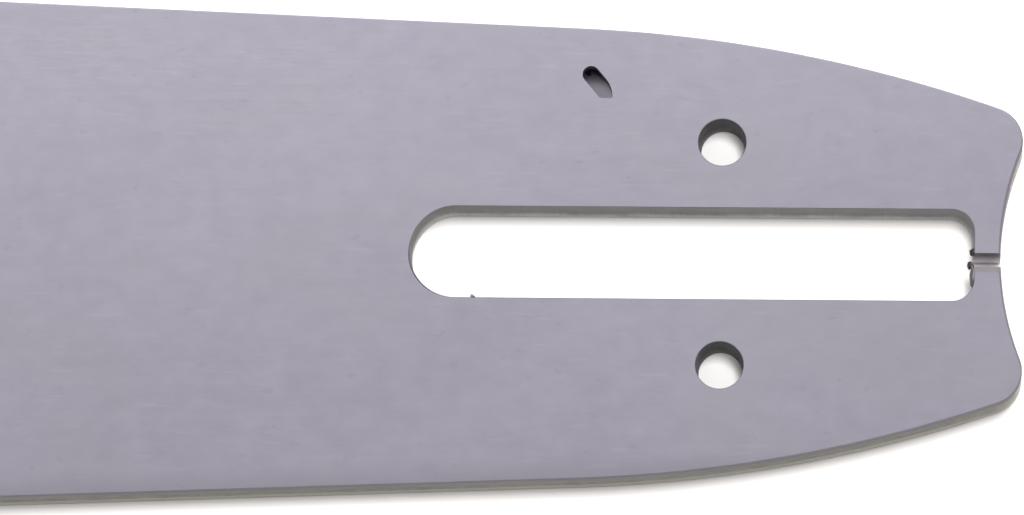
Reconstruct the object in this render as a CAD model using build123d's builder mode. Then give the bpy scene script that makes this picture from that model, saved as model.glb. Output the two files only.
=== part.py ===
# Solid chainsaw guide bar: one flat steel plate with a chain groove round its edge, lying on its side.
# The origin is in the middle of the stud slot, on the lower face. The tail points to +X and the nose to -X.
# All sizes are in millimetres and degrees.
import os
from math import asin, cos, degrees, radians, sin, tan

from build123d import *

# Plate
thickness = 4.6
bar_length = 473.0  # from the hollow in the tail to the tip of the nose
edge_break = 0.25  # bevel round the rim of both faces

# Slot that slides on the two bar studs
slot_width = 8.2
slot_length = 49.7  # from the round end to the square end
slot_corner_radius = 2.0  # in the corners of the square end
tail_bridge = 2.3  # steel left between the square end and the hollow in the tail
slit_width = 1.4  # saw cut that splits this bridge
slit_shift = -0.5  # the saw cut sits this far beside the centre line

# Holes for the pin of the chain tensioner, one above and one below the slot
tension_hole_diameter = 4.2
tension_hole_spacing = 20.0
tension_hole_shift = 2.6  # from the middle of the slot towards the tail

# Tail, which draws in to two horns with a hollow between them
hollow_radius = 25.4
horn_radius = 3.1
tail_side_radius = 126.0
shoulder_distance = 36.8  # from the hollow to where the sides begin to draw in
shoulder_width = 40.5

# Flanks, belly and nose
flank_angle = 2.34  # each straight flank leans out by this much towards the nose
flank_distance = 90.0  # from the hollow to where the flanks run into the belly
nose_radius = 21.0

# Chain groove in the middle of the edge, all the way round the nose from horn to horn
groove_width = 1.3
groove_depth = 6.0
lead_in_length = 6.0  # the groove opens out at the horns, so that the chain finds its way in
lead_in_width = 2.5  # at the hollow

# Oil inlets, one in each face, drilled aslant through the rail into the groove
oil_hole_diameter = 1.6
oil_hole_shift = 8.4  # from the middle of the slot towards the nose
oil_hole_inset = 4.95  # from the edge of the bar to the middle of the mouth
oil_hole_slope = 25.0  # between the drill and the face
oil_hole_heading = 50.0  # the drill leans from the nose direction towards the edge by this much

# Overrun of cutting tools past the steel
cutter_overrun = 1.0

# Stations along the bar
tail_x = slot_length / 2 + tail_bridge
nose_x = tail_x - bar_length
shoulder = Vector(tail_x - shoulder_distance, shoulder_width / 2)
lean = radians(flank_angle)
flank_run = flank_distance - shoulder_distance
flank_end = shoulder + Vector(-flank_run, flank_run * tan(lean))

# The belly is one large arc, tangent to the end of the flank and to the circle of the nose
nose_centre = Vector(nose_x + nose_radius, 0)
nose_tip = Vector(nose_x, 0)
inward = Vector(-sin(lean), -cos(lean))
reach = flank_end - nose_centre
belly_radius = (nose_radius**2 - reach.dot(reach)) / (2 * (inward.dot(reach) + nose_radius))
belly_centre = flank_end + inward * belly_radius
nose_start = nose_centre + (nose_centre - belly_centre).normalized() * nose_radius

# The sides of the tail run on past the hollow, which then trims them
side_end_x = tail_x + hollow_radius / 2
side_turn = degrees(asin(sin(lean) + (side_end_x - shoulder.X) / tail_side_radius)) - flank_angle

# Plan of the bar before the hollow is cut, which the groove also follows
with BuildSketch() as side_plan:
    with BuildLine():
        tail_side = JernArc(shoulder, (cos(lean), -sin(lean)), tail_side_radius, -side_turn)
        flank = Line(shoulder, flank_end)
        belly = TangentArc(flank_end, nose_start, tangent=flank % 1)
        nose = TangentArc(nose_start, nose_tip, tangent=belly % 1)
        mirror(about=Plane.XZ)
        Line(tail_side @ 1, Vector((tail_side @ 1).X, -(tail_side @ 1).Y))
    make_face()

# Plan with the hollow and the rounded horns
with BuildSketch() as bar_plan:
    add(side_plan.sketch)
    with Locations((tail_x + hollow_radius, 0)):
        Circle(hollow_radius, mode=Mode.SUBTRACT)
    horns = bar_plan.vertices().sort_by(Axis.X)[-2:]
    fillet(horns, horn_radius)

# Plan of the slot, round at the nose end and square with soft corners at the tail end
with BuildSketch() as slot_plan:
    with Locations((-slot_length / 2 + slot_width / 2, 0)):
        Circle(slot_width / 2)
        Rectangle(slot_length - slot_width / 2, slot_width, align=(Align.MIN, Align.CENTER))
    square_corners = slot_plan.vertices().sort_by(Axis.X)[-2:]
    fillet(square_corners, slot_corner_radius)

# Plan of the saw cut through the bridge
with BuildSketch() as slit_plan:
    slit_length = tail_bridge + 2 * cutter_overrun
    with Locations((slot_length / 2 - cutter_overrun, slit_shift)):
        Rectangle(slit_length, slit_width, align=(Align.MIN, Align.CENTER))

# Plan of the groove, from outside the edge to its floor
with BuildSketch(Plane.XY.offset((thickness - groove_width) / 2)) as groove_plan:
    offset(side_plan.sketch, amount=cutter_overrun)
    offset(side_plan.sketch, amount=-groove_depth, mode=Mode.SUBTRACT)

# Side view of the lead-in, a wedge that widens towards the tail
lead_in_end_width = groove_width + 2 * (lead_in_width - groove_width)
with BuildSketch(Plane.XZ) as lead_in_plan:
    with BuildLine():
        narrow_end = Line(
            (tail_x - lead_in_length, (thickness - groove_width) / 2),
            (tail_x - lead_in_length, (thickness + groove_width) / 2),
        )
        wide_end = Line(
            (tail_x + lead_in_length, (thickness - lead_in_end_width) / 2),
            (tail_x + lead_in_length, (thickness + lead_in_end_width) / 2),
        )
        Line(narrow_end @ 0, wide_end @ 0)
        Line(narrow_end @ 1, wide_end @ 1)
    make_face()

# The lead-in widens the groove only, and leaves its floor as it is
with BuildPart() as lead_in:
    extrude(lead_in_plan.sketch, amount=shoulder_width, both=True)
    extrude(groove_plan.sketch, amount=thickness, both=True, mode=Mode.INTERSECT)


def oil_drill(face_side: int) -> Plane:
    """Gives the plane that one oil inlet is drilled from, facing back out of the hole.

    Args:
        face_side: 1 for the inlet in the upper face, -1 for the one in the lower face.
    """
    slope = radians(oil_hole_slope)
    heading = radians(oil_hole_heading)
    mouth_x = -oil_hole_shift
    mouth_y = shoulder.Y + (shoulder.X - mouth_x) * tan(lean) - oil_hole_inset
    mouth = Vector(mouth_x, face_side * mouth_y, thickness / 2 * (1 + face_side))
    outward = Vector(
        cos(slope) * cos(heading),
        -face_side * cos(slope) * sin(heading),
        face_side * sin(slope),
    )
    return Plane(origin=mouth + outward * oil_lead, z_dir=outward)


# The drill starts clear of the face and stops in the middle of the groove
oil_lead = oil_hole_diameter / tan(radians(oil_hole_slope))
oil_depth = oil_lead + thickness / 2 / sin(radians(oil_hole_slope))

with BuildPart() as guide_bar:
    # Plate with its rims bevelled
    extrude(bar_plan.sketch, amount=thickness)
    rims = guide_bar.edges().group_by(Axis.Z)
    chamfer(rims[0] + rims[-1], edge_break)
    # Chain groove and its lead-in
    extrude(groove_plan.sketch, amount=groove_width, mode=Mode.SUBTRACT)
    add(lead_in.part, mode=Mode.SUBTRACT)
    # Stud slot and the cut from it to the hollow
    extrude(slot_plan.sketch, amount=thickness, mode=Mode.SUBTRACT)
    extrude(slit_plan.sketch, amount=thickness, mode=Mode.SUBTRACT)
    # Tensioner holes
    with Locations((tension_hole_shift, 0, thickness)):
        with GridLocations(0, tension_hole_spacing, 1, 2):
            Hole(tension_hole_diameter / 2)
    # Oil inlets
    for face_side in (1, -1):
        with Locations(oil_drill(face_side)):
            Hole(oil_hole_diameter / 2, oil_depth)

guide_bar.part.label = "guide_bar"

os.makedirs("parts", exist_ok=True)
export_step(guide_bar.part, "parts/guide_bar.step")
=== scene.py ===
"""Looks of a solid chainsaw guide bar that lies on its side on a white table.

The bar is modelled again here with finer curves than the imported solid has, to the same sizes and in the same place.
Its sizes are in millimetres, as in the part's source, and the finished mesh is scaled to metres.
"""

import logging
from collections.abc import Callable, Iterable, Mapping, Sequence
from dataclasses import dataclass, field
from enum import Enum
from math import acos, asin, atan2, ceil, cos, pi, radians, sin, tan
from typing import Any

import bmesh
import bpy
from mathutils import Matrix, Vector


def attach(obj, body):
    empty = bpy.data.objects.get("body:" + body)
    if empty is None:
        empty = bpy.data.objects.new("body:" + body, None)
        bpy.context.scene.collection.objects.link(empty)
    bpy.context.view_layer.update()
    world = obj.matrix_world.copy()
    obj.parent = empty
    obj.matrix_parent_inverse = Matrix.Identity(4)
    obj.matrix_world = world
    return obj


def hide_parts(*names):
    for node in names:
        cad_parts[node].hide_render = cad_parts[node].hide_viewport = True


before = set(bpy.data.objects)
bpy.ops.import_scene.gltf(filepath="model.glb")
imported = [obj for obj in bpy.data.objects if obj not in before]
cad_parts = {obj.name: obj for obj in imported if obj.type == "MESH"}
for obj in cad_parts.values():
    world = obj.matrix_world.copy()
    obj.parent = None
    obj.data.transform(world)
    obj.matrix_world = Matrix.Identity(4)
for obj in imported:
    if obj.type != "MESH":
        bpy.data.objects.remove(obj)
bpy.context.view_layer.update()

log = logging.getLogger("guide_bar")

Colour = tuple[float, float, float, float]
Grain = tuple[float, float, float]
MILLIMETRE: float = 0.001
WHITE: Colour = (1.0, 1.0, 1.0, 1.0)

# Limits of modelling, in millimetres
LEVEL_SLACK: float = 0.004  # a point that is nearer to a level than this is on it
CORNER_SLACK: float = 0.01  # a point that is nearer to a corner than this is at it
SEAM_GAP: float = 0.02  # points of an outline that are nearer than this are one
WELD_GAP: float = 0.0005  # points of the finished mesh that are nearer than this are one
# How much of a face's normal points up or down
FLAT: float = 0.99
SLOPING: float = 0.5


class Side(Enum):
    """The two sides of the bar's centre line, and the two faces that go with them."""

    UPPER = 1
    LOWER = -1


class Element(Enum):
    """What a selection in edit mode is made of."""

    VERTEX = "VERT"
    EDGE = "EDGE"
    FACE = "FACE"


class Joining(Enum):
    """How a second solid changes the first."""

    CUT = "DIFFERENCE"
    WELD = "UNION"
    COMMON = "INTERSECT"


class Number:
    """A number that varies over a surface. Its operators add Math nodes to the material."""

    def __init__(self, bench: "Bench", socket: bpy.types.NodeSocket) -> None:
        """Wraps one output socket.

        Args:
            bench: The material's bench, which adds the nodes.
            socket: The output that gives the number.
        """
        self.bench = bench
        self.socket = socket

    def _math(self, operation: str, first: "Number | float", second: "Number | float") -> "Number":
        """Adds one Math node.

        Args:
            operation: The node's operation.
            first: The first value.
            second: The second value.

        Returns:
            The node's result.
        """
        node = self.bench.add("ShaderNodeMath", {"operation": operation}, {0: first, 1: second})
        return Number(self.bench, node.outputs[0])

    def __add__(self, other: "Number | float") -> "Number":
        """Gives self + other."""
        return self._math("ADD", self, other)

    def __radd__(self, other: float) -> "Number":
        """Gives other + self."""
        return self._math("ADD", other, self)

    def __sub__(self, other: "Number | float") -> "Number":
        """Gives self - other."""
        return self._math("SUBTRACT", self, other)

    def __rsub__(self, other: float) -> "Number":
        """Gives other - self."""
        return self._math("SUBTRACT", other, self)

    def __mul__(self, other: "Number | float") -> "Number":
        """Gives self * other."""
        return self._math("MULTIPLY", self, other)

    def __rmul__(self, other: float) -> "Number":
        """Gives other * self."""
        return self._math("MULTIPLY", other, self)

    def __truediv__(self, other: "Number | float") -> "Number":
        """Gives self / other."""
        return self._math("DIVIDE", self, other)

    def __rtruediv__(self, other: float) -> "Number":
        """Gives other / self."""
        return self._math("DIVIDE", other, self)


Term = Number | bpy.types.NodeSocket | float | Sequence[float] | str


class Bench:
    """The node tree of one material or world, with one way to add any node to it."""

    def __init__(self, tree: bpy.types.NodeTree) -> None:
        """Clears the tree for new nodes.

        Args:
            tree: The tree of a material or a world.
        """
        self.tree = tree
        self.tree.nodes.clear()

    def add(self, kind: str, settings: Mapping[str, Any], sockets: Mapping[str | int, Term]) -> bpy.types.Node:
        """Adds a node, sets its options and then fills its sockets.

        Args:
            kind: The node's type.
            settings: The node's own options, set before its sockets.
            sockets: A value or a link for each input, by name or place.

        Returns:
            The new node.
        """
        node = self.tree.nodes.new(kind)
        for name, value in settings.items():
            setattr(node, name, value)
        for key, value in sockets.items():
            source = value.socket if isinstance(value, Number) else value
            if isinstance(source, bpy.types.NodeSocket):
                self.tree.links.new(source, node.inputs[key])
            else:
                node.inputs[key].default_value = source
        return node

    def number(
        self,
        kind: str,
        settings: Mapping[str, Any],
        sockets: Mapping[str | int, Term],
        output: str | int = 0,
    ) -> Number:
        """Adds a node and gives one of its outputs as a number.

        Args:
            kind: The node's type.
            settings: The node's own options.
            sockets: A value or a link for each input.
            output: The output that is wanted, by name or place.

        Returns:
            That output.
        """
        return Number(self, self.add(kind, settings, sockets).outputs[output])

    def place(self) -> bpy.types.NodeSocket:
        """Gives the point on the piece, in metres in the part's frame."""
        return self.add("ShaderNodeTexCoord", {}, {}).outputs["Object"]

    def axis(self, place: bpy.types.NodeSocket, name: str) -> Number:
        """Gives one coordinate of a point."""
        return self.number("ShaderNodeSeparateXYZ", {}, {"Vector": place}, name)

    def grain(self, place: bpy.types.NodeSocket, per_metre: Grain, detail: float = 2.0) -> Number:
        """Adds a noise that is stretched by its counts along the three axes.

        Args:
            place: The point that the noise is read at.
            per_metre: How many grains there are to a metre along X, Y and Z.
            detail: How many finer layers the noise has.

        Returns:
            The noise, about 0.5 on the whole.
        """
        stretched = self.add("ShaderNodeMapping", {"vector_type": "POINT"}, {"Vector": place, "Scale": per_metre})
        return self.number(
            "ShaderNodeTexNoise",
            {"noise_dimensions": "3D"},
            {"Vector": stretched.outputs["Vector"], "Scale": 1.0, "Detail": detail, "Roughness": 0.55},
        )

    def step(self, value: Number, low: float, high: float) -> Number:
        """Turns a number into a soft step.

        Args:
            value: The number.
            low: Where the step begins.
            high: Where it ends.

        Returns:
            0 up to low, 1 from high on.
        """
        return self.number(
            "ShaderNodeMapRange",
            {"interpolation_type": "SMOOTHSTEP"},
            {"Value": value, "From Min": low, "From Max": high, "To Min": 0.0, "To Max": 1.0},
        )

    def blend(self, factor: Number, low: Term, high: Term) -> bpy.types.NodeSocket:
        """Mixes two colours.

        Args:
            factor: 0 for the first colour, 1 for the second.
            low: The first colour.
            high: The second colour.

        Returns:
            The mixed colour.
        """
        settings = {"data_type": "RGBA", "clamp_factor": True}
        return self.add("ShaderNodeMix", settings, {0: factor, 6: low, 7: high}).outputs[2]

    def relief(self, height: Number, depth: float, strength: float) -> bpy.types.NodeSocket:
        """Turns a height into a bumped normal.

        Args:
            height: The height, from 0 to 1.
            depth: How deep the relief is, in metres.
            strength: How much of it shows.

        Returns:
            The normal.
        """
        sockets = {"Height": height, "Distance": depth, "Strength": strength}
        return self.add("ShaderNodeBump", {}, sockets).outputs["Normal"]

    def surface(self, colour: Term, roughness: Number, normal: Term, metallic: float = 1.0) -> None:
        """Ends a material in one Principled shader.

        Args:
            colour: The base colour.
            roughness: The roughness.
            normal: The bumped normal.
            metallic: How much of it is bare metal.
        """
        sockets = {"Base Color": colour, "Metallic": metallic, "Roughness": roughness, "Normal": normal}
        shader = self.add("ShaderNodeBsdfPrincipled", {}, sockets)
        self.add("ShaderNodeOutputMaterial", {}, {"Surface": shader.outputs[0]})


def new_bench(name: str) -> tuple[bpy.types.Material, Bench]:
    """Makes an empty material.

    Args:
        name: The material's name.

    Returns:
        The material and its bench.
    """
    material = bpy.data.materials.new(name)
    material.use_nodes = True
    return material, Bench(material.node_tree)


@dataclass(frozen=True)
class GroundFace:
    """The two flat faces: satin steel, ground along the bar."""

    dark: Colour = (0.375, 0.352, 0.422, 1.0)
    light: Colour = (0.455, 0.430, 0.507, 1.0)
    grey: Colour = (0.413, 0.396, 0.430, 1.0)
    # Painted shade along the lower rail: its colour, its strength, its lean towards the tail and its band across Y.
    painted_edge_shade: Colour = (0.29, 0.275, 0.315, 1.0)
    edge_shade_share: float = 0.45
    edge_shade_lean: float = 0.0409
    edge_shade_range: tuple[float, float] = (0.0174, 0.0200)
    roughness: float = 0.50
    fine_grain: Grain = (700.0, 4600.0, 700.0)
    line_grain: Grain = (110.0, 1500.0, 110.0)
    blotch_grain: Grain = (420.0, 560.0, 420.0)
    mottle_grain: Grain = (170.0, 260.0, 170.0)
    cloud_grain: Grain = (28.0, 44.0, 28.0)
    scratch_grain: Grain = (260.0, 2600.0, 260.0)
    scratch_range: tuple[float, float] = (0.66, 0.74)
    speck_grain: Grain = (800.0, 1300.0, 800.0)
    speck_range: tuple[float, float] = (0.69, 0.77)
    patch_grain: Grain = (75.0, 120.0, 75.0)
    patch_range: tuple[float, float] = (0.4, 0.75)
    relief: tuple[float, float] = (0.00002, 0.25)

    def make(self) -> bpy.types.Material:
        """Makes the material.

        Returns:
            Steel with fine grinding lines along X, a faint mottle, short scratches, specks and greyer patches,
            and painted shade that darkens it along the lower rail near the tail.
        """
        material, bench = new_bench("ground_face")
        place = bench.place()
        fine = bench.grain(place, self.fine_grain) - 0.5
        lines = bench.grain(place, self.line_grain, 3.0) - 0.5
        blotch = bench.grain(place, self.blotch_grain) - 0.5
        mottle = bench.grain(place, self.mottle_grain) - 0.5
        cloud = bench.grain(place, self.cloud_grain, 1.0) - 0.5
        scratch = bench.step(bench.grain(place, self.scratch_grain, 1.0), *self.scratch_range)
        speck = bench.step(bench.grain(place, self.speck_grain, 1.0), *self.speck_range)
        shade = 0.5 + 0.6 * fine + 0.5 * lines + 0.8 * blotch + 1.0 * mottle + 0.8 * cloud
        shade = shade + 0.25 * scratch - 0.28 * speck
        patches = bench.step(bench.grain(place, self.patch_grain, 1.0), *self.patch_range)
        clean = bench.blend(0.3 * patches, bench.blend(shade, self.dark, self.light), self.grey)
        x, y = (bench.axis(place, name) for name in "XY")
        # Painted shade: the face darkens in a band along the lower rail, more of it towards the tail.
        edge_shade = self.edge_shade_share * bench.step(self.edge_shade_lean * x - y + 0.001 * mottle, *self.edge_shade_range)
        roughness = self.roughness + 0.14 * fine + 0.10 * lines + 0.08 * mottle
        normal = bench.relief(0.6 * fine + lines, *self.relief)
        bench.surface(bench.blend(edge_shade, clean, self.painted_edge_shade), roughness, normal)
        return material


@dataclass(frozen=True)
class CutWall:
    """Cut steel with painted shade towards the upper face and a painted reflection of the white table at the foot:
    the walls of the slot, the holes and the slit, and the slit's lip.
    """

    name: str
    dark: Colour
    light: Colour
    painted_reflection_top: float = 0.5
    painted_reflection_foot: float = -0.05
    roughness: float = 0.46
    thickness: float = 0.0046
    streak_grain: Grain = (3200.0, 3200.0, 160.0)
    blotch_grain: Grain = (420.0, 420.0, 420.0)
    relief: tuple[float, float] = (0.00003, 0.3)

    def make(self) -> bpy.types.Material:
        """Makes the material.

        Returns:
            Steel with painted shade in its upper zone, a paler foot that is a painted reflection of the table,
            upright streaks and blotches.
        """
        material, bench = new_bench(self.name)
        place = bench.place()
        height = bench.axis(place, "Z") / self.thickness
        streaks = bench.grain(place, self.streak_grain) - 0.5
        blotch = bench.grain(place, self.blotch_grain) - 0.5
        # Painted light: dark towards the upper face as painted shade, pale at the foot as a painted reflection of the
        # white table.
        painted_reflection = 1.0 - bench.step(height + 0.3 * blotch + 0.1 * streaks, self.painted_reflection_foot, self.painted_reflection_top)
        roughness = self.roughness + 0.2 * blotch + 0.1 * streaks
        bench.surface(bench.blend(painted_reflection, self.dark, self.light), roughness, bench.relief(streaks, *self.relief))
        return material


@dataclass(frozen=True)
class RailEdge:
    """The outer edge that the chain runs on: ground steel, with painted shade under the upper rim and a warm painted
    reflection of the white table towards the lower face.
    """

    dark: Colour = (0.182, 0.170, 0.175, 1.0)
    light: Colour = (0.64, 0.60, 0.52, 1.0)
    painted_reflection_range: tuple[float, float] = (0.0, 0.9)
    roughness: float = 0.42
    thickness: float = 0.0046
    line_grain: Grain = (60.0, 60.0, 5200.0)
    blotch_grain: Grain = (120.0, 120.0, 500.0)
    relief: tuple[float, float] = (0.00002, 0.3)

    def make(self) -> bpy.types.Material:
        """Makes the material.

        Returns:
            Steel with lines along the edge, a darker band of painted shade under the upper rim and a paler painted
            reflection of the table towards the lower face.
        """
        material, bench = new_bench("rail_edge")
        place = bench.place()
        height = bench.axis(place, "Z") / self.thickness
        lines = bench.grain(place, self.line_grain) - 0.5
        blotch = bench.grain(place, self.blotch_grain) - 0.5
        # Painted light: dark under the upper rim as painted shade, pale and warm towards the lower face as a painted
        # reflection of the table.
        painted_reflection = 1.0 - bench.step(height + 0.25 * blotch + 0.1 * lines, *self.painted_reflection_range)
        roughness = self.roughness + 0.16 * blotch + 0.12 * lines
        bench.surface(bench.blend(painted_reflection, self.dark, self.light), roughness, bench.relief(lines, *self.relief))
        return material


@dataclass(frozen=True)
class SawnGroove:
    """The chain groove: dull sawn steel, painted paler than the rails as painted light in the groove's shade."""

    dark: Colour = (0.46, 0.437, 0.407, 1.0)
    light: Colour = (0.69, 0.66, 0.62, 1.0)
    metallic: float = 0.5
    roughness: float = 0.52
    mark_grain: Grain = (900.0, 900.0, 2600.0)
    blotch_grain: Grain = (150.0, 150.0, 150.0)
    relief: tuple[float, float] = (0.00004, 0.4)

    def make(self) -> bpy.types.Material:
        """Makes the material.

        Returns:
            Steel with fine saw marks.
        """
        material, bench = new_bench("sawn_groove")
        place = bench.place()
        marks = bench.grain(place, self.mark_grain, 3.0) - 0.5
        blotch = bench.grain(place, self.blotch_grain) - 0.5
        # Painted light: the groove's colour is kept pale so that its shade is lifted.
        shade = 0.5 + 1.2 * marks + 0.8 * blotch
        colour, normal = bench.blend(shade, self.dark, self.light), bench.relief(marks, *self.relief)
        bench.surface(colour, self.roughness + 0.2 * marks, normal, self.metallic)
        return material


@dataclass(frozen=True)
class MilledInlet:
    """The oil inlets: dull milled steel, with painted shade that darkens it the deeper it lies."""

    dark: Colour = (0.0165, 0.0135, 0.0225, 1.0)
    light: Colour = (0.205, 0.191, 0.215, 1.0)
    depth_shade_range: tuple[float, float] = (0.02, 0.56)
    metallic: float = 0.6
    roughness: float = 0.55
    thickness: float = 0.0046
    mark_grain: Grain = (2400.0, 2400.0, 2400.0)
    relief: tuple[float, float] = (0.00003, 0.4)

    def make(self) -> bpy.types.Material:
        """Makes the material.

        Returns:
            Steel that is grey at both faces and painted almost black, as shade, at half the thickness.
        """
        material, bench = new_bench("milled_inlet")
        place = bench.place()
        height = bench.axis(place, "Z") / self.thickness - 0.5
        marks = bench.grain(place, self.mark_grain, 3.0) - 0.5
        # Painted shade: the inlet darkens towards half the thickness, where it lies deepest.
        near_face = bench.step(4.0 * height * height + 0.12 * marks, *self.depth_shade_range)
        colour, normal = bench.blend(near_face, self.dark, self.light), bench.relief(marks, *self.relief)
        bench.surface(colour, self.roughness + 0.2 * marks, normal, self.metallic)
        return material


@dataclass(frozen=True)
class BurrSteel:
    """The small burrs that the saw and the punch left: dark and rough, their darkness partly the steel's own and
    partly painted shade.
    """

    dark: Colour = (0.06, 0.058, 0.057, 1.0)
    light: Colour = (0.26, 0.25, 0.24, 1.0)
    roughness: float = 0.60
    torn_grain: Grain = (6000.0, 6000.0, 6000.0)
    relief: tuple[float, float] = (0.00004, 0.5)

    def make(self) -> bpy.types.Material:
        """Makes the material.

        Returns:
            Dark torn steel.
        """
        material, bench = new_bench("burr_steel")
        torn = bench.grain(bench.place(), self.torn_grain) - 0.5
        # Dark colour: partly the torn steel's own, partly painted shade on the burrs.
        colour, normal = bench.blend(0.4 + 1.6 * torn, self.dark, self.light), bench.relief(torn, *self.relief)
        bench.surface(colour, self.roughness + 0.2 * torn, normal)
        return material


class Finish(Enum):
    """The finishes of the bar, in the order of its material slots."""

    FACE = 0
    RAIL = 1
    WALL = 2
    BORE = 3
    GROOVE = 4
    INLET = 5
    BURR = 6
    SLIT = 7
    LIP = 8


class Model:
    """One mesh on the modelling bench. Its methods are edit-mode steps, with sizes in millimetres."""

    def __init__(self, name: str, finish: Finish) -> None:
        """Adds an empty mesh at the origin.

        Args:
            name: The object's name.
            finish: What all its faces get at first.
        """
        bpy.ops.object.select_all(action="DESELECT")
        bpy.ops.mesh.primitive_plane_add(size=1.0, enter_editmode=True, location=(0.0, 0.0, 0.0))
        bpy.ops.mesh.delete(type="VERT")
        bpy.ops.object.mode_set(mode="OBJECT")
        self.object: bpy.types.Object = bpy.context.object
        self.object.name = name
        self.finish = finish

    def edit(self) -> None:
        """Makes this mesh the active one and enters edit mode with nothing selected."""
        bpy.ops.object.select_all(action="DESELECT")
        bpy.context.view_layer.objects.active = self.object
        self.object.select_set(True)
        bpy.ops.object.mode_set(mode="EDIT")
        bpy.ops.mesh.select_all(action="DESELECT")

    def done(self) -> None:
        """Points all faces outwards and leaves edit mode."""
        bpy.ops.mesh.select_mode(type="FACE")
        bpy.ops.mesh.select_all(action="SELECT")
        bpy.ops.mesh.normals_make_consistent(inside=False)
        bpy.ops.object.mode_set(mode="OBJECT")

    def pick(self, element: Element, test: Callable[[list[Vector], Vector], bool]) -> None:
        """Selects elements by their place or normal, in edit mode.

        Args:
            element: Whether vertices, edges or faces are picked.
            test: Told the corners and the normal of an element, says whether it is picked. An edge has no normal.
        """
        bpy.ops.mesh.select_mode(type=element.value)
        bpy.ops.mesh.select_all(action="DESELECT")
        mesh = bmesh.from_edit_mesh(self.object.data)
        if element is Element.VERTEX:
            rows: Iterable[tuple[Any, list[Vector], Vector]] = [(v, [v.co], v.normal) for v in mesh.verts]
        elif element is Element.EDGE:
            rows = [(e, [v.co for v in e.verts], Vector()) for e in mesh.edges]
        else:
            rows = [(f, [v.co for v in f.verts], f.normal) for f in mesh.faces]
        for item, corners, normal in rows:
            if test(corners, normal):
                item.select_set(True)
        mesh.select_flush_mode()
        bmesh.update_edit_mesh(self.object.data)

    def pick_level(self, element: Element, *heights: float) -> None:
        """Selects what lies wholly at one of some heights.

        Args:
            element: Whether vertices, edges or faces are picked.
            heights: The heights in millimetres.
        """
        self.pick(
            element,
            lambda corners, _: any(all(abs(c.z - height) < LEVEL_SLACK for c in corners) for height in heights),
        )

    def dress(self, materials: Sequence[bpy.types.Material]) -> None:
        """Gives the mesh all the bar's material slots and sets every face to this model's own.

        Args:
            materials: The materials in the order of Finish.
        """
        self.object.data.materials.clear()
        for material in materials:
            self.object.data.materials.append(material)
        self.edit()
        self.paint(self.finish, lambda corners, normal: True)
        bpy.ops.object.mode_set(mode="OBJECT")

    def paint(self, finish: Finish, test: Callable[[list[Vector], Vector], bool]) -> None:
        """Assigns a finish to some faces, in edit mode.

        Args:
            finish: The finish.
            test: Says which faces get it.
        """
        self.pick(Element.FACE, test)
        self.object.active_material_index = finish.value
        bpy.ops.object.material_slot_assign()

    def copy(self, name: str) -> "Model":
        """Copies the model with a mesh of its own.

        Args:
            name: The copy's name.

        Returns:
            The copy.
        """
        twin = Model(name, self.finish)
        bpy.data.meshes.remove(twin.object.data)
        bpy.ops.object.select_all(action="DESELECT")
        bpy.context.view_layer.objects.active = self.object
        self.object.select_set(True)
        bpy.ops.object.duplicate(linked=False)
        twin.object = bpy.context.object
        twin.object.name = name
        return twin

    def shift(self, travel: Vector) -> None:
        """Moves the whole mesh.

        Args:
            travel: How far, in millimetres.
        """
        self.edit()
        bpy.ops.mesh.select_all(action="SELECT")
        bpy.ops.transform.translate(value=travel)
        bpy.ops.object.mode_set(mode="OBJECT")

    def join(self, joining: Joining, other: "Model") -> None:
        """Changes this solid by another one, which is used up.

        Args:
            joining: Whether the other is cut away, welded on, or only what both share is kept.
            other: The other solid.
        """
        bpy.ops.object.select_all(action="DESELECT")
        bpy.context.view_layer.objects.active = self.object
        self.object.select_set(True)
        change = self.object.modifiers.new(joining.name, "BOOLEAN")
        change.operation = joining.value
        change.solver = "EXACT"
        change.material_mode = "INDEX"
        change.object = other.object
        bpy.ops.object.modifier_apply(modifier=change.name)
        log.debug("%s: %s by %s", self.object.name, joining.name, other.object.name)
        bpy.data.meshes.remove(other.object.data)


@dataclass(frozen=True)
class Run:
    """A straight stretch of an outline."""

    travel: Vector

    def trace(self) -> None:
        """Extrudes the pen's vertex along the stretch."""
        bpy.ops.mesh.extrude_vertices_move(TRANSFORM_OT_translate={"value": self.travel.to_3d()})


@dataclass(frozen=True)
class Turn:
    """An arc of an outline about a fixed centre. Its angle is in radians, anticlockwise from above."""

    centre: Vector
    angle: float
    steps: int

    def trace(self) -> None:
        """Spins the pen's vertex round the centre, where a spin of the operator is clockwise."""
        bpy.ops.mesh.spin(steps=self.steps, angle=-self.angle, center=self.centre.to_3d(), axis=(0.0, 0.0, 1.0))


def arc(centre: Vector, start: Vector, end: Vector, hollow: bool = False, sagitta: float = 0.003) -> Turn:
    """Finds the turn from one point to another.

    Args:
        centre: The centre of the arc.
        start: Where it begins.
        end: Where it ends.
        hollow: Whether it runs clockwise, as the steel's edge does round a hollow.
        sagitta: How far a chord may stay inside the arc.

    Returns:
        The turn, with enough steps for that.
    """
    first, last = start - centre, end - centre
    angle = (atan2(last.y, last.x) - atan2(first.y, first.x)) % (2 * pi)
    if hollow:
        angle -= 2 * pi
    if abs(angle) < 1e-9:
        angle = 2 * pi
    step = 2 * acos(1 - sagitta / first.length)
    return Turn(centre, angle, max(4, ceil(abs(angle) / step)))


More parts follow.
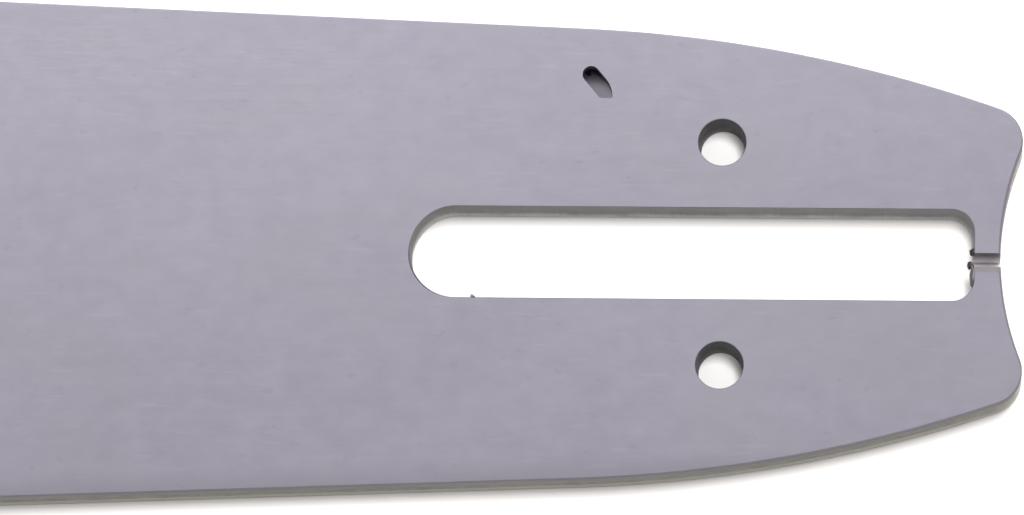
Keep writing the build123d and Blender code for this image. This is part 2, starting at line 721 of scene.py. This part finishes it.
@dataclass(frozen=True)
class Outline:
    """An outline of runs and turns that are tangent to each other, anticlockwise round the steel.

    Shifting its start along the normal moves the whole outline in or out, because every turn keeps its centre.
    """

    start: Vector
    inward: Vector
    moves: tuple[Run | Turn, ...]

    def draw(self, inset: float, height: float) -> None:
        """Draws the outline as edges of the mesh in edit mode.

        Args:
            inset: How far inside the true outline it is drawn.
            height: The height that it is drawn at.
        """
        corner = self.start + self.inward * inset
        bpy.ops.mesh.select_mode(type="VERT")
        bpy.ops.mesh.select_all(action="DESELECT")
        bpy.ops.mesh.primitive_plane_add(size=1.0, location=(corner.x, corner.y, height))
        bpy.ops.mesh.merge(type="CENTER")
        for move in self.moves:
            move.trace()

    def loft(self, model: Model, levels: Sequence[tuple[float, float]]) -> None:
        """Makes a closed solid from the outline at several heights.

        Args:
            model: The empty model that it is made in.
            levels: The inset and the height of each, from the lowest up.
        """
        model.edit()
        for inset, height in levels:
            self.draw(inset, height)
            model.pick_level(Element.VERTEX, height)
            bpy.ops.mesh.remove_doubles(threshold=SEAM_GAP)
        for (_, low), (_, high) in zip(levels, levels[1:]):
            model.pick_level(Element.EDGE, low, high)
            bpy.ops.mesh.bridge_edge_loops()
        for height in (levels[0][1], levels[-1][1]):
            model.pick_level(Element.EDGE, height)
            bpy.ops.mesh.edge_face_add()
        model.done()


def ring(centre: Vector, spoke: Vector) -> Outline:
    """Gives the round outline of a cutter.

    Args:
        centre: The centre of the circle.
        spoke: From the centre to the first point of the circle.

    Returns:
        The outline, where an inset is out of the steel.
    """
    return Outline(centre + spoke, spoke.normalized(), (arc(centre, centre + spoke, centre + spoke),))


@dataclass(frozen=True)
class Burr:
    """A lump that a tool left on an edge. Sizes are in millimetres, and torn is a share of its size."""

    place: tuple[float, float, float]
    size: tuple[float, float, float]
    seed: int
    finish: Finish = Finish.BURR
    torn: float = 0.3


@dataclass
class GuideBar:
    """The bar: one steel plate with its slot, slit, holes, oil inlets and chain groove. Sizes are in millimetres."""

    materials: list[bpy.types.Material]
    thickness: float = 4.6
    bar_length: float = 473.0
    edge_break: float = 0.18
    rail_break: float = 0.12
    rim_break: float = 0.05
    rim_zone: float = 0.32
    rim_segments: int = 3
    hollow_clear: float = 0.05
    bore_taper: float = 0.15
    slot_end_lean: float = 0.2
    worn_rim: float = 0.15
    worn_rim_heading: float = 210.0
    slot_width: float = 8.2
    slot_length: float = 49.7
    slot_corner_radius: float = 2.0
    tail_bridge: float = 2.3
    slit_width: float = 1.4
    slit_shift: float = -0.5
    slit_lip: float = 0.5
    slit_lip_inside: float = 0.2
    slit_lip_depth: float = 0.22
    slit_lip_slack: float = 0.1
    tension_hole_diameter: float = 4.2
    tension_hole_spacing: float = 20.0
    tension_hole_shift: float = 2.6
    hollow_radius: float = 25.4
    horn_radius: float = 3.1
    tail_side_radius: float = 126.0
    shoulder_distance: float = 36.8
    shoulder_width: float = 40.5
    flank_angle: float = 2.34
    flank_distance: float = 90.0
    nose_radius: float = 21.0
    groove_width: float = 1.3
    groove_depth: float = 6.0
    lead_in_length: float = 6.0
    lead_in_width: float = 2.5
    lead_in_band: float = 3.0
    oil_inlet_width: float = 1.52
    oil_inlet_centre: tuple[float, float] = (-9.07, 16.07)
    oil_inlet_heading: float = 50.0
    oil_inlet_side: float = 1.85
    oil_inlet_end: float = 13.92
    oil_inlet_end_width: float = 1.15
    oil_inlet_slope: float = 29.4
    oil_inlet_corner: float = 0.2
    oil_inlet_bend: float = 0.6
    oil_inlet_segments: int = 6
    oil_bore_diameter: float = 0.2
    oil_bore_foot: float = 2.2
    oil_bore_top: float = 3.5
    oil_bore_shift: float = 0.45
    oil_bore_reach: float = 0.1
    oil_bore_sides: int = 48
    overrun: float = 1.0
    smooth_angle: float = 12.0
    burrs: tuple[Burr, ...] = (
        Burr((24.68, 0.34, 4.14), (0.26, 0.34, 0.38), 3),
        Burr((24.76, -1.8, 4.22), (0.34, 1.0, 0.34), 4, Finish.LIP),
        Burr((24.47, -0.84, 4.08), (0.22, 0.34, 0.30), 8),
        Burr((-19.23, -4.14, 4.40), (0.22, 0.34, 0.18), 5, Finish.FACE),
    )
    piece: bpy.types.Object = field(init=False)

    def __post_init__(self) -> None:
        """Works out the stations of the outline from the sizes."""
        lean = radians(self.flank_angle)
        self.tail_x = self.slot_length / 2 + self.tail_bridge
        self.nose_centre = Vector((self.tail_x - self.bar_length + self.nose_radius, 0.0))
        self.shoulder = Vector((self.tail_x - self.shoulder_distance, self.shoulder_width / 2))
        flank_run = self.flank_distance - self.shoulder_distance
        self.flank_end = self.shoulder + Vector((-flank_run, flank_run * tan(lean)))
        self.inward = Vector((-sin(lean), -cos(lean)))
        reach = self.flank_end - self.nose_centre
        belly_radius = (self.nose_radius**2 - reach.dot(reach)) / (2 * (self.inward.dot(reach) + self.nose_radius))
        self.belly_centre = self.flank_end + self.inward * belly_radius
        self.nose_start = self.nose_centre + (self.nose_centre - self.belly_centre).normalized() * self.nose_radius
        self.side_centre = self.shoulder + self.inward * self.tail_side_radius
        self.hollow_centre = Vector((self.tail_x + self.hollow_radius, 0.0))

    def mirrored(self, point: Vector, side: Side) -> Vector:
        """Gives a point of the upper half, or its mirror image below the centre line.

        Args:
            point: The point in the upper half.
            side: The side that is wanted.

        Returns:
            The point on that side.
        """
        return Vector((point.x, side.value * point.y))

    def horn(self, side: Side) -> tuple[Vector, Vector, Vector]:
        """Finds the rounding of one horn, between the side of the tail and the hollow.

        Args:
            side: The side of the horn.

        Returns:
            The centre, the point where it meets the side, and the point where it meets the hollow.
        """
        side_centre = self.mirrored(self.side_centre, side)
        near, far = self.tail_side_radius - self.horn_radius, self.hollow_radius + self.horn_radius
        axis = self.hollow_centre - side_centre
        along = (near**2 - far**2 + axis.length_squared) / (2 * axis.length)
        across = (near**2 - along**2) ** 0.5
        forward = axis.normalized()
        sideways = Vector((-forward.y, forward.x)) * side.value
        centre = side_centre + forward * along + sideways * across
        on_side = centre + (centre - side_centre).normalized() * self.horn_radius
        on_hollow = centre + (self.hollow_centre - centre).normalized() * self.horn_radius
        return centre, on_side, on_hollow

    def rails(self, upper_end: Vector, lower_end: Vector) -> tuple[Run | Turn, ...]:
        """Gives the edge that the chain runs on, from the tail round the nose and back.

        Args:
            upper_end: Where it begins on the upper side of the tail.
            lower_end: Where it ends on the lower side.

        Returns:
            The moves, anticlockwise.
        """
        low = Side.LOWER
        lower_shoulder, lower_flank_end = self.mirrored(self.shoulder, low), self.mirrored(self.flank_end, low)
        lower_nose_start = self.mirrored(self.nose_start, low)
        return (
            arc(self.side_centre, upper_end, self.shoulder),
            Run(self.flank_end - self.shoulder),
            arc(self.belly_centre, self.flank_end, self.nose_start),
            arc(self.nose_centre, self.nose_start, lower_nose_start),
            arc(self.mirrored(self.belly_centre, low), lower_nose_start, lower_flank_end),
            Run(lower_shoulder - lower_flank_end),
            arc(self.mirrored(self.side_centre, low), lower_shoulder, lower_end),
        )

    def plate(self) -> Model:
        """Makes the plate with its rims rounded.

        Returns:
            The solid plate.
        """
        upper_centre, upper_side, upper_hollow = self.horn(Side.UPPER)
        lower_centre, lower_side, lower_hollow = self.horn(Side.LOWER)
        outline = Outline(
            upper_hollow,
            (upper_hollow - self.hollow_centre).normalized(),
            (
                arc(upper_centre, upper_hollow, upper_side),
                *self.rails(upper_side, lower_side),
                arc(lower_centre, lower_side, lower_hollow),
                arc(self.hollow_centre, lower_hollow, upper_hollow, hollow=True),
            ),
        )
        model = Model("guide_bar_body", Finish.RAIL)
        outline.loft(model, [(0.0, 0.0), (0.0, self.thickness)])
        model.edit()
        model.pick_level(Element.EDGE, 0.0, self.thickness)
        bpy.ops.mesh.bevel(
            offset_type="OFFSET",
            offset=self.rail_break,
            segments=self.rim_segments,
            profile=0.5,
            affect="EDGES",
            clamp_overlap=False,
        )
        model.done()
        model.dress(self.materials)
        model.edit()
        model.paint(Finish.FACE, lambda corners, normal: abs(normal.z) > FLAT)
        bpy.ops.object.mode_set(mode="OBJECT")
        return model

    def on_rim(self, corners: Sequence[Vector], normal: Vector) -> bool:
        """Says whether a face belongs to a broken rim of one of the two flat faces."""
        return abs(normal.z) > SLOPING and all(min(c.z, self.thickness - c.z) < self.rim_zone for c in corners)

    def on_lip(self, corners: Sequence[Vector], normal: Vector) -> bool:
        """Says whether a face belongs to the chamfered lip of the slit.

        Args:
            corners: The face's corners.
            normal: The face's normal.

        Returns:
            Whether it slopes down into the slit between the slot and the hollow.
        """
        begin = self.slot_length / 2 - self.slit_lip_slack
        beside = all(c.x > begin and abs(c.y - self.slit_shift) < self.slit_width for c in corners)
        return beside and normal.y > 0.3 and abs(normal.z) > SLOPING

    def flared(self, rim: float, taper: float = 0.0) -> list[tuple[float, float]]:
        """Gives the levels of a cutter through the plate that breaks its rims at both faces.

        Args:
            rim: The width of the broken rim.
            taper: How much the cutter is narrower at the lower face, on each side.

        Returns:
            Insets and heights, where an inset is out of the steel.
        """
        out, top = rim + self.overrun, self.thickness
        return [(out - taper, -self.overrun), (-taper, rim), (0.0, top - rim), (out, top + self.overrun)]

    def slot_cutter(self) -> Model:
        """Makes the cutter of the stud slot, round at the nose end and square with soft corners at the tail end.

        Returns:
            The cutter.
        """
        half, radius, end = self.slot_width / 2, self.slot_corner_radius, self.slot_length / 2
        round_centre = Vector((-end + half, 0.0))
        top, bottom = Vector((-end + half, half)), Vector((-end + half, -half))
        straight = self.slot_length - half - radius
        corner_low, corner_high = Vector((end - radius, radius - half)), Vector((end - radius, half - radius))
        outline = Outline(
            top,
            Vector((0.0, 1.0)),
            (
                arc(round_centre, top, bottom),
                Run(Vector((straight, 0.0))),
                arc(corner_low, corner_low + Vector((0.0, -radius)), corner_low + Vector((radius, 0.0))),
                Run(Vector((0.0, self.slot_width - 2 * radius))),
                arc(corner_high, corner_high + Vector((radius, 0.0)), corner_high + Vector((0.0, radius))),
                Run(Vector((-straight, 0.0))),
            ),
        )
        model = Model("slot_cutter", Finish.WALL)
        outline.loft(model, self.flared(self.rim_break))
        model.edit()
        square_end, middle = end - radius - CORNER_SLACK, self.thickness / 2
        model.pick(Element.VERTEX, lambda corners, _: corners[0].z < middle and corners[0].x > square_end)
        bpy.ops.transform.translate(value=(-self.slot_end_lean, 0.0, 0.0))
        model.done()
        model.dress(self.materials)
        return model

    def worn_rim_cutter(self) -> Model:
        """Makes the cutter of the worn rim at the slot's round end.

        The rim is widest at its heading and fades on both sides.

        Returns:
            The cutter.
        """
        radius, worn, heading = self.slot_width / 2, self.worn_rim, radians(self.worn_rim_heading)
        centre = Vector((radius - self.slot_length / 2, 0.0)) + 2 * worn * Vector((cos(heading), sin(heading)))
        model = Model("worn_rim_cutter", Finish.FACE)
        levels = [(-2 * worn, self.thickness - 2 * worn), (self.overrun, self.thickness + self.overrun)]
        ring(centre, Vector((radius - worn, 0.0))).loft(model, levels)
        model.dress(self.materials)
        return model

    def hole_cutter(self) -> Model:
        """Makes the cutter of one tensioner hole, above the slot.

        Returns:
            The cutter.
        """
        centre = Vector((self.tension_hole_shift, self.tension_hole_spacing / 2))
        model = Model("hole_cutter", Finish.BORE)
        levels = self.flared(self.rim_break, self.bore_taper)
        ring(centre, Vector((self.tension_hole_diameter / 2, 0.0))).loft(model, levels)
        model.dress(self.materials)
        return model

    def hollow_cutter(self) -> Model:
        """Makes the cutter that chamfers the rims of the hollow and stays clear of its wall.

        Returns:
            The cutter.
        """
        clear = self.hollow_clear
        levels = [(inset - clear, height) for inset, height in self.flared(self.edge_break + clear)]
        model = Model("hollow_cutter", Finish.RAIL)
        ring(self.hollow_centre, Vector((-self.hollow_radius, 0.0))).loft(model, levels)
        model.dress(self.materials)
        return model

    def slit_cutter(self) -> Model:
        """Makes the cutter of the saw cut through the bridge, with its lower lip chamfered at both faces.

        Returns:
            The cutter.
        """
        depth, middle = self.slit_lip_depth, self.thickness / 2
        upper_lip = self.slit_shift + self.slit_width / 2
        width = self.slit_width - self.slit_lip_inside
        place = (self.slot_length / 2 + self.tail_bridge / 2, upper_lip - width / 2, middle)
        model = Model("slit_cutter", Finish.SLIT)
        model.edit()
        bpy.ops.mesh.primitive_cube_add(size=1.0, location=place)
        size = (self.tail_bridge + 2 * self.overrun, width, self.thickness - 2 * depth)
        bpy.ops.transform.resize(value=size, center_override=place)
        wide = 1.0 + (depth + self.overrun) * self.slit_lip / depth / width
        for side in Side:
            model.pick_level(Element.FACE, middle + side.value * (middle - depth))
            rise = (0.0, 0.0, side.value * (depth + self.overrun))
            bpy.ops.mesh.extrude_region_move(TRANSFORM_OT_translate={"value": rise})
            bpy.ops.transform.resize(value=(1.0, wide, 1.0), center_override=(0.0, upper_lip, middle))
        model.done()
        model.dress(self.materials)
        return model

    def groove_cutter(self) -> Model:
        """Makes the cutter of the chain groove, a flat band round the edge, open at the tail.

        Returns:
            The cutter.
        """
        lean = radians(self.flank_angle)
        end_x = self.tail_x + self.hollow_radius / 2
        turn = asin(sin(lean) + (end_x - self.shoulder.x) / self.tail_side_radius)
        outward = Vector((sin(turn), cos(turn)))
        upper_end = self.side_centre + outward * self.tail_side_radius
        outline = Outline(upper_end, -outward, self.rails(upper_end, self.mirrored(upper_end, Side.LOWER)))
        model = Model("groove_cutter", Finish.GROOVE)
        model.edit()
        low = (self.thickness - self.groove_width) / 2
        for inset in (-self.overrun, self.groove_depth):
            outline.draw(inset, low)
        model.pick_level(Element.EDGE, low)
        bpy.ops.mesh.bridge_edge_loops()
        model.pick_level(Element.FACE, low)
        bpy.ops.mesh.extrude_region_move(TRANSFORM_OT_translate={"value": (0.0, 0.0, self.groove_width)})
        model.done()
        model.dress(self.materials)
        return model

    def lead_in_cutter(self, groove: Model) -> Model:
        """Makes the cutter that opens the groove out towards the horns.

        Args:
            groove: The groove's cutter, which is copied.

        Returns:
            The part of a wedge that lies within the groove's depth.
        """
        middle = self.thickness / 2
        band = groove.copy("lead_in_band")
        band.edit()
        bpy.ops.mesh.select_all(action="SELECT")
        bpy.ops.transform.resize(value=(1.0, 1.0, self.lead_in_band), center_override=(0.0, 0.0, middle))
        bpy.ops.object.mode_set(mode="OBJECT")
        wedge = Model("lead_in_cutter", Finish.GROOVE)
        wedge.edit()
        place = (self.tail_x, 0.0, middle)
        bpy.ops.mesh.primitive_cube_add(size=1.0, location=place)
        size = (2 * self.lead_in_length, 2 * self.shoulder_width, self.groove_width)
        bpy.ops.transform.resize(value=size, center_override=place)
        wedge.pick(Element.FACE, lambda corners, normal: normal.x > FLAT)
        wide = (2 * self.lead_in_width - self.groove_width) / self.groove_width
        bpy.ops.transform.resize(value=(1.0, 1.0, wide), center_override=place)
        wedge.done()
        wedge.dress(self.materials)
        wedge.join(Joining.COMMON, band)
        return wedge

    def oil_cutter(self, side: Side) -> Model:
        """Makes the cutter of one oil inlet, a mouth with one round end and a ramp that leads down into the groove.

        Args:
            side: The face and the side of the centre line.

        Returns:
            The cutter.
        """
        heading, slope, middle = radians(self.oil_inlet_heading), radians(self.oil_inlet_slope), self.thickness / 2
        along, across = Vector((-cos(heading), sin(heading))), Vector((sin(heading), cos(heading)))
        centre, radius, end = Vector(self.oil_inlet_centre), self.oil_inlet_width / 2, self.oil_inlet_end
        left, right = centre - across * radius, centre + across * radius
        left_end = left - along * (left.y - end) / along.y
        right_end = left_end + Vector((self.oil_inlet_end_width, 0.0))
        bend = right - along * self.oil_inlet_side
        mouth = Outline(
            left_end,
            Vector((0.0, 1.0)),
            (
                Run(right_end - left_end),
                Run(bend - right_end),
                Run(right - bend),
                arc(centre, right, left),
                Run(left_end - left),
            ),
        )
        model = Model("oil_cutter", Finish.INLET)
        mouth.loft(model, [(0.0, middle), (0.0, self.thickness + self.overrun)])
        model.edit()
        small, large = self.oil_inlet_corner, self.oil_inlet_bend
        for corner, rounding in ((left_end, small), (right_end, small), (bend, large)):
            model.pick(
                Element.EDGE,
                lambda corners, _: all((c.to_2d() - corner).length < CORNER_SLACK for c in corners),
            )
            segments = self.oil_inlet_segments
            bpy.ops.mesh.bevel(offset_type="OFFSET", offset=rounding, segments=segments, affect="EDGES")
        bpy.ops.mesh.select_all(action="SELECT")
        ramp_top, ramp_normal = (0.0, end, self.thickness), (0.0, sin(slope), cos(slope))
        bpy.ops.mesh.bisect(plane_co=ramp_top, plane_no=ramp_normal, use_fill=True, clear_inner=True)
        return self.turned(model, side)

    def oil_bore(self, side: Side) -> Model:
        """Makes the cutter of the bore at the foot of one oil inlet's ramp, which widens as it opens into the groove.

        Args:
            side: The face and the side of the centre line.

        Returns:
            The cutter.
        """
        heading = radians(self.oil_inlet_heading)
        centre = Vector(self.oil_inlet_centre) + Vector((-cos(heading), sin(heading))) * self.oil_bore_shift
        # The bore reaches below the groove's floor, so the inlet's painted shade darkens the groove floor under the
        # inlet.
        foot = (self.thickness - self.groove_width) / 2 - self.oil_bore_reach
        depth = self.oil_bore_top - foot
        model = Model("oil_bore", Finish.INLET)
        model.edit()
        bpy.ops.mesh.primitive_cone_add(
            vertices=self.oil_bore_sides,
            radius1=self.oil_bore_foot / 2,
            radius2=self.oil_bore_diameter / 2,
            depth=depth,
            location=(centre.x, centre.y, foot + depth / 2),
        )
        return self.turned(model, side)

    def turned(self, model: Model, side: Side) -> Model:
        """Finishes a cutter that was made for the upper face, and turns it half round for the lower one.

        Args:
            model: The cutter, in edit mode.
            side: The face that it is for.

        Returns:
            The cutter.
        """
        if side is Side.LOWER:
            bpy.ops.mesh.select_all(action="SELECT")
            bpy.ops.transform.rotate(value=pi, orient_axis="X", center_override=(0.0, 0.0, self.thickness / 2))
        model.done()
        model.dress(self.materials)
        return model

    def lump(self, burr: Burr) -> Model:
        """Makes one burr as a torn lump.

        Args:
            burr: Its place and size.

        Returns:
            The lump, which is to be welded on.
        """
        model = Model("burr", burr.finish)
        model.edit()
        bpy.ops.mesh.primitive_ico_sphere_add(subdivisions=2, radius=1.0, location=burr.place)
        bpy.ops.transform.vertex_random(offset=burr.torn, uniform=burr.torn, normal=burr.torn, seed=burr.seed)
        bpy.ops.mesh.subdivide(number_cuts=2, smoothness=0.6)
        bpy.ops.transform.resize(value=burr.size, center_override=burr.place)
        model.done()
        model.dress(self.materials)
        return model

    def build(self) -> bpy.types.Object:
        """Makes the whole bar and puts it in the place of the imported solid.

        Returns:
            The finished piece.
        """
        body = self.plate()
        groove = self.groove_cutter()
        lead_in = self.lead_in_cutter(groove)
        upper_hole = self.hole_cutter()
        lower_hole = upper_hole.copy("lower_hole_cutter")
        lower_hole.shift(Vector((0.0, -self.tension_hole_spacing, 0.0)))
        slot, worn_rim = self.slot_cutter(), self.worn_rim_cutter()
        cutters = (groove, lead_in, self.hollow_cutter(), slot, worn_rim, upper_hole, lower_hole, self.slit_cutter())
        for cutter in cutters:
            body.join(Joining.CUT, cutter)
        for side in Side:
            body.join(Joining.CUT, self.oil_cutter(side))
            body.join(Joining.CUT, self.oil_bore(side))
        body.edit()
        body.paint(Finish.FACE, self.on_rim)
        # The slit's lip gets a darker finish than the face: painted shade in the slit.
        body.paint(Finish.LIP, self.on_lip)
        bpy.ops.object.mode_set(mode="OBJECT")
        for burr in self.burrs:
            body.join(Joining.WELD, self.lump(burr))
        self.piece = body.object
        body.edit()
        bpy.ops.mesh.select_all(action="SELECT")
        bpy.ops.mesh.remove_doubles(threshold=WELD_GAP)
        bpy.ops.transform.resize(value=(MILLIMETRE,) * 3, center_override=(0.0, 0.0, 0.0))
        body.done()
        bpy.ops.object.shade_smooth_by_angle(angle=radians(self.smooth_angle))
        self.piece.name = "guide_bar_dressed"
        self.piece.data.name = "guide_bar_dressed"
        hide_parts("guide_bar")
        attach(self.piece, "root")
        return self.piece


@dataclass(frozen=True)
class Lamp:
    """A flat rectangular lamp. Sizes are in metres, power in watts."""

    name: str
    power: float
    size: tuple[float, float]
    place: tuple[float, float, float]
    aim: tuple[float, float, float]
    mirrored: bool

    def hang(self) -> bpy.types.Object:
        """Adds the lamp.

        Returns:
            The lamp, which polished steel shows only if it is mirrored.
        """
        bpy.ops.object.select_all(action="DESELECT")
        place = Vector(self.place)
        facing = (place - Vector(self.aim)).to_track_quat("Z", "Y").to_euler()
        bpy.ops.object.light_add(type="AREA", location=place, rotation=facing)
        lamp = bpy.context.object
        lamp.name = self.name
        lamp.data.shape = "RECTANGLE"
        lamp.data.size, lamp.data.size_y = self.size
        lamp.data.energy = self.power
        lamp.visible_glossy = self.mirrored
        return lamp


@dataclass
class Studio:
    """The white table, the soft light and the camera."""

    floor_size: float = 40.0
    floor_gap: float = 0.0001
    paper: Colour = (0.91, 0.89, 0.875, 1.0)
    mirrored_paper: Colour = (0.53, 0.53, 0.53, 1.0)
    clear_shift: tuple[float, float, float] = (0.21, 0.0, 0.0)
    clear_shape: tuple[float, float, float] = (1.0, 3.0, 1.0)
    clear_range: tuple[float, float] = (0.245, 0.31)
    world_strength: float = 0.40
    lamps: tuple[Lamp, ...] = (
        Lamp("table_lamp", 7.5, (0.155, 0.207), (0.105, 0.115, 0.9), (0.105, 0.115, 0.0), False),
        Lamp("table_fill", 2.4, (0.6, 0.4), (0.0, -0.45, 0.9), (0.0, 0.0, 0.0), False),
        Lamp("softbox", 0.68, (0.45, 0.3), (-0.03, 0.20, 0.27), (0.0, 0.0, 0.0), True),
    )
    azimuth: float = 14.667
    elevation: float = 78.0
    roll: float = -13.926
    aim: tuple[float, float, float] = (-0.01578, -0.00052, 0.0046)
    distance: float = 0.7
    lens: float = 279.52
    sensor_width: float = 36.0

    def table(self) -> bpy.types.Object:
        """Makes the white table that the bar lies on.

        Returns:
            The table top.
        """
        bpy.ops.object.select_all(action="DESELECT")
        bpy.ops.mesh.primitive_plane_add(size=self.floor_size, location=(0.0, 0.0, -self.floor_gap))
        top = bpy.context.object
        top.name = "table_top"
        bpy.ops.object.transform_apply(location=True)
        material, bench = new_bench("white_table")
        path = bench.add("ShaderNodeLightPath", {}, {})
        in_view, in_steel = (Number(bench, path.outputs[ray]) for ray in ("Is Camera Ray", "Is Glossy Ray"))
        colour = bench.blend(in_steel, self.paper, self.mirrored_paper)
        paper = bench.add("ShaderNodeBsdfDiffuse", {}, {"Color": colour})
        glow = bench.add("ShaderNodeEmission", {}, {"Color": WHITE, "Strength": 1.0})
        around = {"Vector": bench.place(), "Location": self.clear_shift, "Scale": self.clear_shape}
        oval = bench.add("ShaderNodeMapping", {}, around)
        away = bench.number("ShaderNodeVectorMath", {"operation": "LENGTH"}, {0: oval.outputs["Vector"]}, "Value")
        share = bench.step(away, *self.clear_range) * (in_view + in_steel)
        sheet = bench.add("ShaderNodeMixShader", {}, {0: share, 1: paper.outputs[0], 2: glow.outputs[0]})
        bench.add("ShaderNodeOutputMaterial", {}, {"Surface": sheet.outputs[0]})
        top.data.materials.append(material)
        return top

    def light(self) -> None:
        """Hangs the lamps and fills the rest from all sides."""
        for lamp in self.lamps:
            log.info("%s hung", lamp.hang().name)
        world = bpy.data.worlds.new("soft_room")
        world.use_nodes = True
        bench = Bench(world.node_tree)
        sky = bench.add("ShaderNodeBackground", {}, {"Color": WHITE, "Strength": self.world_strength})
        bench.add("ShaderNodeOutputWorld", {}, {"Surface": sky.outputs[0]})
        bpy.context.scene.world = world

    def camera(self) -> bpy.types.Object:
        """Sets the camera up as the photograph was taken.

        Returns:
            The camera.
        """
        azimuth, elevation, roll = radians(self.azimuth), radians(self.elevation), radians(self.roll)
        back = Vector((sin(azimuth) * cos(elevation), -cos(azimuth) * cos(elevation), sin(elevation)))
        level = Vector((cos(azimuth), sin(azimuth), 0.0))
        upright = back.cross(level)
        right = level * cos(roll) + upright * sin(roll)
        up = upright * cos(roll) - level * sin(roll)
        bpy.ops.object.camera_add(location=Vector(self.aim) + back * self.distance)
        camera = bpy.context.object
        camera.name = "camera"
        camera.rotation_euler = Matrix((right, up, back)).transposed().to_euler()
        camera.data.sensor_width = self.sensor_width
        camera.data.lens = self.lens
        bpy.context.scene.camera = camera
        return camera


def main() -> None:
    """Builds the bar, the table, the light and the camera, and reports each."""
    logging.basicConfig(level=logging.INFO, format="%(message)s")
    bpy.context.scene.view_settings.view_transform = "Standard"
    finishes = (
        GroundFace(),
        # The rail edge carries painted shade under the upper rim and a painted reflection of the table below it.
        RailEdge(),
        # The slot wall: painted shade towards the upper face, painted reflection of the table at the foot.
        CutWall("slot_wall", (0.205, 0.194, 0.191, 1.0), (0.82, 0.79, 0.765, 1.0)),
        # The bore wall: painted almost black towards the upper face as shade in the narrow holes, paler at the foot
        # as a painted reflection of the table.
        CutWall("bore_wall", (0.0215, 0.02, 0.0225, 1.0), (0.17, 0.162, 0.165, 1.0)),
        # The groove is painted pale, as painted light in its shade.
        SawnGroove(),
        # The inlets carry painted shade, almost black at half the thickness.
        MilledInlet(),
        # The burrs are dark partly by their own colour and partly by painted shade.
        BurrSteel(),
        # The slit wall: painted shade towards the upper face, and a painted reflection of the table that reaches
        # higher up.
        CutWall("slit_wall", (0.18, 0.166, 0.181, 1.0), (0.97, 0.92, 0.96, 1.0), 0.85),
        # The slit's lip is painted darker than the face, as painted shade in the slit.
        CutWall("slit_lip", (0.29, 0.272, 0.288, 1.0), (0.33, 0.312, 0.327, 1.0)),
    )
    bar = GuideBar([finish.make() for finish in finishes]).build()
    log.info("%s: %d faces", bar.name, len(bar.data.polygons))
    studio = Studio()
    log.info("%s laid out", studio.table().name)
    studio.light()
    log.info("%s set up", studio.camera().name)


if __name__ == "__main__":
    main()
